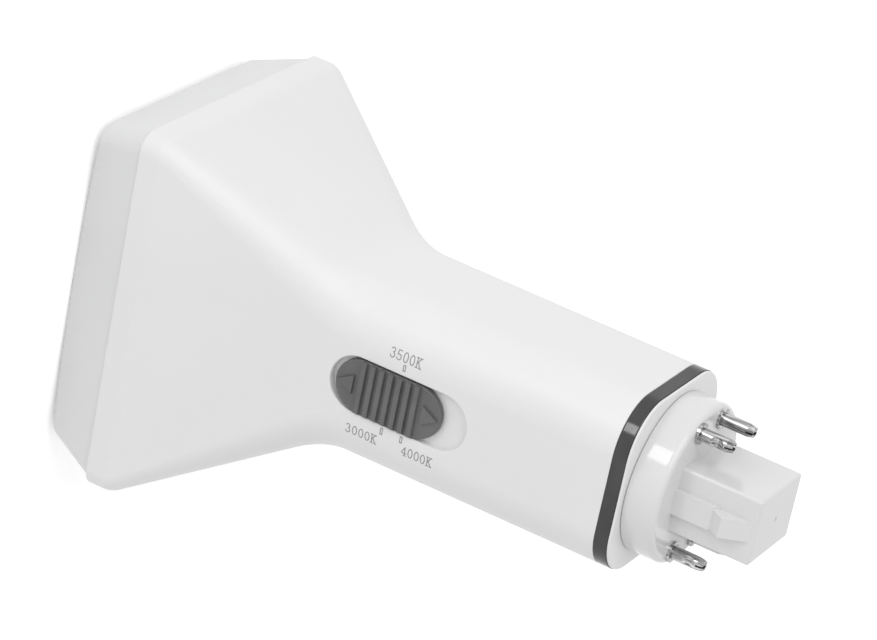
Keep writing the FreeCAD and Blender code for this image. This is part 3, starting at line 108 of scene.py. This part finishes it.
# Finishes by what they are. Colours are sRGB, sizes in millimetres.
finishes = {
    # polycarbonate shell: white, from a mould with a fine even texture that softens its gloss
    "mouldedPolycarbonate": {"colours": ("#e7e7e7", "#e9e9e9"), "roughness": (0.36, 0.42), "grain": 0.25,
                             "depth": 0.001, "drift": 30, "ior": 1.58},
    # opal polycarbonate diffuser: milky, fine satin texture that scatters the light
    "opalDiffuser": {"colours": ("#e0e0e0", "#e3e3e3"), "roughness": (0.38, 0.48), "grain": 0.25,
                     "depth": 0.006, "drift": 25, "ior": 1.58, "milky": 0.3, "milkyDepth": 2.5},
    # PBT plug base: a slightly greyer white, glossy from a polished mould
    "mouldedPbt": {"colours": ("#dedede", "#e1e1e1"), "roughness": (0.1, 0.15), "grain": 0.2,
                   "depth": 0.0006, "drift": 12, "ior": 1.57},
    # plated trim ring: black nickel over plastic, darkly reflecting
    "blackNickelPlate": {"colours": ("#464646", "#4e4e4e"), "roughness": (0.1, 0.16), "grain": 0.6,
                         "depth": 0.002, "drift": 6, "metallic": 1.0},
    # nickel-plated brass pins; the light and dark streaks along each pin are painted reflections of
    # bright and dark surroundings mirrored in the metal
    "nickelBrassPaintedReflections": {"colours": ("#606060", "#dcdcdc"), "roughness": (0.08, 0.2), "grain": 0.35,
                          "depth": 0.006, "drift": 0.45, "metallic": 1.0, "stretch": (1, 1, 0.06)},
    # selector knob: dark grey ABS with a spark-eroded satin texture
    "sparkErodedAbs": {"colours": ("#5c5c5c", "#656565"), "roughness": (0.42, 0.56), "grain": 0.18,
                       "depth": 0.012, "drift": 5, "ior": 1.53},
    # pad-print ink: thin, matt, mid grey
    "padPrintInk": {"colours": ("#868686", "#939393"), "roughness": (0.5, 0.65), "grain": 0.12,
                    "depth": 0.003, "drift": 0.6, "ior": 1.5},
    # black glass-filled nylon of small moulded parts
    "glassFilledNylon": {"colours": ("#1d1d1e", "#262627"), "roughness": (0.4, 0.55), "grain": 0.2,
                         "depth": 0.01, "drift": 3, "ior": 1.53},
    # pressed sheet of the heat spreader: rolled aluminium, lines along its length
    "rolledAluminium": {"colours": ("#c3c4c6", "#cfd0d2"), "roughness": (0.28, 0.42), "grain": 0.4,
                        "depth": 0.004, "drift": 10, "metallic": 1.0, "stretch": (0.08, 1, 1)},
    # nickel-plated steel of the switch case and screws
    "platedSteel": {"colours": ("#a9aaab", "#b6b7b8"), "roughness": (0.22, 0.34), "grain": 0.3,
                    "depth": 0.004, "drift": 3, "metallic": 1.0},
    # white solder mask of the LED board
    "whiteSolderMask": {"colours": ("#f0f0ec", "#f4f4f1"), "roughness": (0.3, 0.42), "grain": 0.5,
                        "depth": 0.004, "drift": 8, "ior": 1.5},
    # yellow silicone with phosphor over the LED chips
    "phosphorSilicone": {"colours": ("#e7c64f", "#efd36a"), "roughness": (0.25, 0.35), "grain": 0.15,
                         "depth": 0.006, "drift": 1, "ior": 1.41, "milky": 0.3, "milkyDepth": 0.3},
    # green mask of the glass-epoxy driver board, and the fuse's green sleeve
    "glassEpoxy": {"colours": ("#1f5a33", "#27683d"), "roughness": (0.25, 0.4), "grain": 0.5,
                   "depth": 0.008, "drift": 6, "ior": 1.55},
    # sintered ferrite: dark and matt
    "sinteredFerrite": {"colours": ("#2b2c2e", "#3a3b3d"), "roughness": (0.55, 0.75), "grain": 0.25,
                        "depth": 0.015, "drift": 1.5, "ior": 1.5},
    # yellow polyester tape round the coil and the film capacitor
    "polyesterTape": {"colours": ("#d9b63c", "#e2c04b"), "roughness": (0.15, 0.25), "grain": 1.2,
                      "depth": 0.02, "drift": 4, "ior": 1.6, "stretch": (1, 1, 3)},
    # drawn aluminium can of a capacitor
    "drawnAluminium": {"colours": ("#b9babc", "#c6c7c9"), "roughness": (0.2, 0.32), "grain": 0.3,
                       "depth": 0.003, "drift": 4, "metallic": 1.0, "stretch": (1, 1, 0.15)},
    # blue epoxy dip of the varistor
    "epoxyDip": {"colours": ("#27488a", "#305398"), "roughness": (0.2, 0.35), "grain": 0.8,
                 "depth": 0.02, "drift": 2, "ior": 1.55},
    # wire insulation, extruded PVC
    "redPvc": {"colours": ("#a3241c", "#b02d24"), "roughness": (0.32, 0.45), "grain": 0.3,
               "depth": 0.006, "drift": 4, "ior": 1.53},
    "blackPvc": {"colours": ("#1c1c1d", "#262627"), "roughness": (0.32, 0.45), "grain": 0.3,
                 "depth": 0.006, "drift": 4, "ior": 1.53},
    "whitePvc": {"colours": ("#dddddb", "#e6e6e4"), "roughness": (0.32, 0.45), "grain": 0.3,
                 "depth": 0.006, "drift": 4, "ior": 1.53},
}
made = {name: finish(name, look) for name, look in finishes.items()}

# Which finish each solid has.
worn = {
    "mouldedPolycarbonate": ["housing", "end_cap"],
    "opalDiffuser": ["diffuser"],
    "mouldedPbt": ["plug_base", "board_connector"],
    "blackNickelPlate": ["trim_ring"],
    "nickelBrassPaintedReflections": ["contact_pin_1", "contact_pin_2", "contact_pin_3", "contact_pin_4"],
    "sparkErodedAbs": ["switch_knob"],
    "glassFilledNylon": ["slide_switch_lever", "bridge_rectifier", "power_transistor", "controller_chip"],
    "rolledAluminium": ["heat_spreader"],
    "platedSteel": ["slide_switch_body", "board_screws"],
    "whiteSolderMask": ["led_board"],
    "phosphorSilicone": ["led_chips"],
    "glassEpoxy": ["driver_board", "input_fuse"],
    "sinteredFerrite": ["transformer_core", "choke"],
    "polyesterTape": ["transformer_winding", "film_capacitor"],
    "drawnAluminium": ["bulk_capacitor", "output_capacitor"],
    "epoxyDip": ["surge_varistor"],
    "redPvc": ["lead_warm"],
    "blackPvc": ["lead_common", "pin_lead_2", "pin_lead_4"],
    "whitePvc": ["lead_cool", "pin_lead_1", "pin_lead_3"],
}
for name, wearers in worn.items():
    for wearer in wearers:
        slots = nodes[wearer].data.materials
        slots.clear()
        slots.append(made[name])
print("finishes on", sum(len(w) for w in worn.values()), "solids")

# Printing beside the selector: three colour settings and their ticks. Reading runs along +Z,
# and the tops of the characters point to -X. Millimetres.
printing = {
    # what it says, where it starts and ends in z, the x of its foot, and its height
    "texts": (
        ("3500K", 59.85, 66.24, -7.8, 1.9),
        ("3000K", 54.3, 60.7, 9.3, 1.8),
        ("4000K", 65.6, 71.85, 9.0, 1.85),
    ),
    "ticks": ((63.08, -6.8), (61.17, 6.33), (65.14, 6.28)),  # z and x of each middle
    "tickSize": (0.38, 1.1),
    "stroke": 0.165,
    "tickStroke": 0.16,
    "lift": 0.015,
    "splits": 4,  # of each straight run, so that it follows the neck's curve
}

# The neck where it is printed: half its width at the throat and at the ring, and its corner radius.
neck = {"throat": 48.1, "end": 103.8, "half": 16.4, "endHalf": 16.2, "corner": 9.0}


def neckSide(x, z):
    # y of the neck's -Y side: flat in the middle, then an arc of the corner radius, both
    # drawn in by the taper from the throat to the ring
    along = (z - neck["throat"]) / (neck["end"] - neck["throat"])
    half = neck["half"] + (neck["endHalf"] - neck["half"]) * along
    past = np.maximum(np.abs(x) - (half - neck["corner"]), 0)
    return -(half - neck["corner"] + np.sqrt(neck["corner"] ** 2 - past ** 2))


def arc(cx, cy, rx, ry, start, end, steps=18):
    # points of an ellipse's arc, by its angle in degrees
    turn = np.radians(np.linspace(start, end, steps))
    return np.stack([cx + rx * np.cos(turn), cy + ry * np.sin(turn)], 1)


# Strokes of the characters, which are 1 high, and the step from one character to the next.
glyphStep = 0.76
glyphs = {
    "0": [arc(0.31, 0.5, 0.24, 0.46, 90, 450, steps=30)],
    "3": [np.vstack([arc(0.27, 0.76, 0.2, 0.2, 160, -80), arc(0.27, 0.29, 0.25, 0.27, 85, -165)])],
    "5": [np.vstack([[[0.5, 0.95], [0.13, 0.95], [0.1, 0.53]], arc(0.27, 0.31, 0.26, 0.27, 130, -160)])],
    "4": [np.array([[0.6, 0.28], [0.03, 0.28], [0.42, 0.97], [0.42, 0.03]]),
          np.array([[0.28, 0.03], [0.56, 0.03]])],
    "K": [np.array([[0.12, 0.97], [0.12, 0.03]]), np.array([[0.0, 0.97], [0.24, 0.97]]),
          np.array([[0.0, 0.03], [0.24, 0.03]]), np.array([[0.12, 0.42], [0.52, 0.97]]),
          np.array([[0.4, 0.97], [0.62, 0.97]]), np.array([[0.25, 0.58], [0.55, 0.03]]),
          np.array([[0.42, 0.03], [0.66, 0.03]])],
}


def ribbon(points, width):
    # a flat band along a polyline: each point moves half the width to both sides of the line,
    # and the ends go on by half the width
    steps = np.linspace(0, 1, printing["splits"] + 1)[:-1, None]
    fine = [a + (b - a) * steps for a, b in zip(points[:-1], points[1:])]
    line = np.vstack(fine + [points[-1:]])
    along = np.gradient(line, axis=0)
    along /= np.linalg.norm(along, axis=1)[:, None]
    side = np.stack([-along[:, 1], along[:, 0]], 1) * width / 2
    line[0] -= along[0] * width / 2
    line[-1] += along[-1] * width / 2
    corners = np.stack([line + side, line - side], 1).reshape(-1, 2)
    first = np.arange(len(line) - 1) * 2
    return corners, np.stack([first, first + 2, first + 3, first + 1], 1)


def tickOutline(z, x):
    # a closed rectangle round the tick's middle
    turns = np.array([[-1, -1], [1, -1], [1, 1], [-1, 1], [-1, -1]])
    return np.array([z, x]) + turns * np.array(printing["tickSize"]) / 2


def printedNumbers():
    # every stroke as a band in the plane of the print, laid on the neck's side by its formula
    bands = []
    for text, start, end, foot, height in printing["texts"]:
        pitch = (end - start) / len(text)
        for column, letter in enumerate(text):
            for stroke in glyphs[letter]:
                z = start + pitch * column + stroke[:, 0] * pitch / glyphStep
                bands.append((np.stack([z, foot - stroke[:, 1] * height], 1), printing["stroke"]))
    for z, x in printing["ticks"]:
        outline = tickOutline(z, x)
        bands += [(outline[i:i + 2], printing["tickStroke"]) for i in range(4)]
    corners, faces, count = [], [], 0
    for line, width in bands:
        band, quads = ribbon(line, width)
        corners.append(band)
        faces.append(quads + count)
        count += len(band)
    flat, quads = np.vstack(corners), np.vstack(faces)
    z, x = flat[:, 0], flat[:, 1]
    place = np.stack([x, neckSide(x, z) - printing["lift"], z], 1) * mm
    mesh = bpy.data.meshes.new("selector_printing")
    mesh.from_pydata(place.tolist(), [], quads.tolist())
    mesh.materials.append(made["padPrintInk"])
    item = bpy.data.objects.new("selector_printing", mesh)
    bpy.context.scene.collection.objects.link(item)
    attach(item, "lamp")


printedNumbers()
print("printing laid on the neck")

# Floor and light. The world's light and the floor's lift are shares of a full white.
studio = {
    "floorSize": 6.0,
    "floorRoughness": 0.9,
    "floorFibres": 1500.0,  # in a metre
    "fibreBump": 0.02,
    "floorLift": 0.31,
    "world": 0.69,
    # name, place, size in metres, watts
    "lamps": (
        ("keyLight", (-0.83, -0.437, 0.727), (0.9, 0.9), 3.9),
        ("stripLight", (-0.2076, -0.2004, 0.0155), (0.097, 0.03), 0.046),
    ),
    "target": (0, 0, 0.06),
}


def seenDirectly(tree):
    # 1 where the camera looks, or looks by way of a mirror or clear glass, and 0 elsewhere
    path = addNode(tree, "ShaderNodeLightPath")
    seen = addNode(tree, "ShaderNodeMath", {
        0: path.outputs["Is Camera Ray"], 1: path.outputs["Is Glossy Ray"]}, operation="MAXIMUM")
    return addNode(tree, "ShaderNodeMath", {
        0: seen.outputs[0], 1: path.outputs["Is Transmission Ray"]}, operation="MAXIMUM").outputs[0]


def makeWorld():
    world = bpy.data.worlds.new("softStudio")
    world.use_nodes = True
    tree = world.node_tree
    tree.nodes.clear()
    strength = addNode(tree, "ShaderNodeMapRange", {
        "Value": seenDirectly(tree), "To Min": studio["world"], "To Max": 1.0})
    light = addNode(tree, "ShaderNodeBackground", {
        "Color": (1, 1, 1, 1), "Strength": strength.outputs["Result"]})
    addNode(tree, "ShaderNodeOutputWorld", {"Surface": light.outputs["Background"]})
    bpy.context.scene.world = world


def makeFloor():
    half = studio["floorSize"] / 2
    mesh = bpy.data.meshes.new("floor")
    corners = [(-half, -half, 0), (half, -half, 0), (half, half, 0), (-half, half, 0)]
    mesh.from_pydata(corners, [], [(0, 1, 2, 3)])
    material = bpy.data.materials.new("paperSweep")
    material.use_nodes = True
    tree = material.node_tree
    tree.nodes.clear()
    place = addNode(tree, "ShaderNodeTexCoord").outputs["Object"]
    fibre = addNode(tree, "ShaderNodeTexNoise", {"Vector": place, "Scale": studio["floorFibres"]})
    bump = addNode(tree, "ShaderNodeBump", {
        "Height": fibre.outputs["Fac"], "Strength": studio["fibreBump"]})
    paper = addNode(tree, "ShaderNodeBsdfPrincipled", {
        "Base Color": linear("#ffffff"), "Roughness": studio["floorRoughness"],
        "Normal": bump.outputs["Normal"]})
    lift = addNode(tree, "ShaderNodeMath", {
        0: seenDirectly(tree), 1: studio["floorLift"]}, operation="MULTIPLY")
    glow = addNode(tree, "ShaderNodeEmission", {"Strength": lift.outputs[0]})
    both = addNode(tree, "ShaderNodeAddShader", {0: paper.outputs["BSDF"], 1: glow.outputs["Emission"]})
    addNode(tree, "ShaderNodeOutputMaterial", {"Surface": both.outputs["Shader"]})
    mesh.materials.append(material)
    floor = bpy.data.objects.new("floor", mesh)
    bpy.context.scene.collection.objects.link(floor)


def makeLamps():
    for name, place, size, power in studio["lamps"]:
        light = bpy.data.lights.new(name, "AREA")
        light.shape = "RECTANGLE"
        light.size, light.size_y = size
        light.energy = power
        lamp = bpy.data.objects.new(name, light)
        lamp.location = place
        aim = Vector(studio["target"]) - Vector(place)
        lamp.rotation_mode = "QUATERNION"
        lamp.rotation_quaternion = aim.to_track_quat("-Z", "Y")
        bpy.context.scene.collection.objects.link(lamp)


# The photograph's camera, as fitted on the pins, the head's outline and the neck. Lens and sensor
# are in millimetres, the rest in metres.
camera = {
    "lens": 165.317,
    "sensor": 36.0,
    "clip": (0.05, 20.0),
    "place": (-0.31321, -0.56579, 0.32995),
    "right": (-0.1842799, 0.50253968, 0.84468621),
    "up": (-0.88073851, 0.29704398, -0.36886928),
    "ahead": (0.4362804, 0.81192287, -0.38786681),
}


def makeCamera():
    data = bpy.data.cameras.new("photoCamera")
    data.lens = camera["lens"]
    data.sensor_width = camera["sensor"]
    data.clip_start, data.clip_end = camera["clip"]
    item = bpy.data.objects.new("photoCamera", data)
    axes = Matrix((camera["right"], camera["up"], [-a for a in camera["ahead"]])).transposed()
    item.matrix_world = Matrix.Translation(camera["place"]) @ axes.to_4x4()
    bpy.context.scene.collection.objects.link(item)
    bpy.context.scene.camera = item


makeWorld()
makeFloor()
makeLamps()
makeCamera()
bpy.context.scene.view_settings.view_transform = "Standard"
print("studio and camera set")
